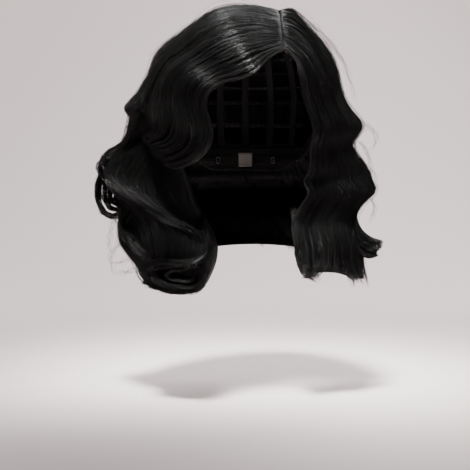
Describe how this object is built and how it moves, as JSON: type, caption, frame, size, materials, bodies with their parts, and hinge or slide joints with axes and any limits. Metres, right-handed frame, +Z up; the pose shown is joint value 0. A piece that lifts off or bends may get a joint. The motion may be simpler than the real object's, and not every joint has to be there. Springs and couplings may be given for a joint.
{
  "type": "costume wig",
  "caption": "Finger-waved bob costume wig: a sewn stretch cap with lace crown, ribbons and weft rows carries side-parted black hair, swept in a wave over the brow, with curled ends.",
  "frame": {"origin": "centre of the wearer's head at brow level, which is the mount head_seat", "axes": "+Z up through the crown, -Y the way the face looks, +X towards the wearer's left ear"},
  "size_m": [0.2847, 0.2347, 0.2789],
  "materials": {
    "hair": "silky synthetic fibre, near-black, soft satin highlights along the waves",
    "lace": "black stretch lace net",
    "parting_skin": "thin skin-coloured film with hair knotted through it",
    "band_cloth": "black folded knit tape, matt",
    "ribbon": "black woven ribbon, slight sheen",
    "weft_thread": "black machine-stitched thread",
    "elastic": "black ribbed elastic",
    "label_cloth": "plain off-white woven tape",
    "hook_metal": "bright steel wire",
    "stay_metal": "black-coated steel strip"
  },
  "bodies": {
    "cap": {"fringe_lock": "hair", "brow_wave_lock": "hair", "temple_wave_lock": "hair", "side_wave_lock": "hair", "front_crest_lock": "hair", "rear_crest_lock": "hair", "jaw_curl_lock": "hair", "cheek_curl_lock": "hair", "ear_curl_lock": "hair", "side_curl_lock": "hair", "left_temple_lock": "hair", "left_face_lock": "hair", "left_side_lock": "hair", "left_back_lock": "hair", "nape_left_lock": "hair", "nape_middle_lock": "hair", "nape_right_lock": "hair", "right_back_lock": "hair", "right_rear_lock": "hair", "right_side_lock": "hair", "left_flick_lock": "hair", "crown_net": "lace", "parting_strip": "parting_skin", "front_band": "band_cloth", "ear_band_left": "band_cloth", "side_ribbon_left": "ribbon", "loop_tape_left": "ribbon", "adjuster_strap_left": "elastic", "side_weft_1_left": "weft_thread", "side_weft_2_left": "weft_thread", "ear_band_right": "band_cloth", "side_ribbon_right": "ribbon", "loop_tape_right": "ribbon", "adjuster_strap_right": "elastic", "side_weft_1_right": "weft_thread", "side_weft_2_right": "weft_thread", "nape_band": "elastic", "back_ribbon_1": "ribbon", "back_ribbon_2": "ribbon", "back_ribbon_3": "ribbon", "back_ribbon_4": "ribbon", "back_ribbon_5": "ribbon", "weft_row_1": "weft_thread", "weft_row_2": "weft_thread", "weft_row_3": "weft_thread", "weft_row_4": "weft_thread", "weft_row_5": "weft_thread", "weft_row_6": "weft_thread", "care_label": "label_cloth"},
    "adjuster_left": {"adjuster_hook_left": "hook_metal"},
    "adjuster_right": {"adjuster_hook_right": "hook_metal"},
    "ear_tab_left": {"ear_tab_left": "band_cloth", "ear_stay_left": "stay_metal"},
    "ear_tab_right": {"ear_tab_right": "band_cloth", "ear_stay_right": "stay_metal"}
  },
  "joints": [
    {"name": "adjuster_left_slide", "type": "hinge", "parent": "cap", "child": "adjuster_left", "pos_m": [-0.0034, 0.0231, -0.064], "axis": [0, 0, 1], "range_deg": [-8, 8], "deforming": ["adjuster_strap_left"]},
    {"name": "adjuster_right_slide", "type": "hinge", "parent": "cap", "child": "adjuster_right", "pos_m": [0.0034, 0.0231, -0.064], "axis": [0, 0, -1], "range_deg": [-8, 8], "deforming": ["adjuster_strap_right"]},
    {"name": "ear_tab_left_fold", "type": "hinge", "parent": "cap", "child": "ear_tab_left", "pos_m": [0.0712, -0.0362, -0.0182], "axis": [0.3058, 0.9521, 0], "range_deg": [-5, 25]},
    {"name": "ear_tab_right_fold", "type": "hinge", "parent": "cap", "child": "ear_tab_right", "pos_m": [-0.0712, -0.0362, -0.0182], "axis": [0.3058, -0.9521, 0], "range_deg": [-5, 25]}
  ]
}
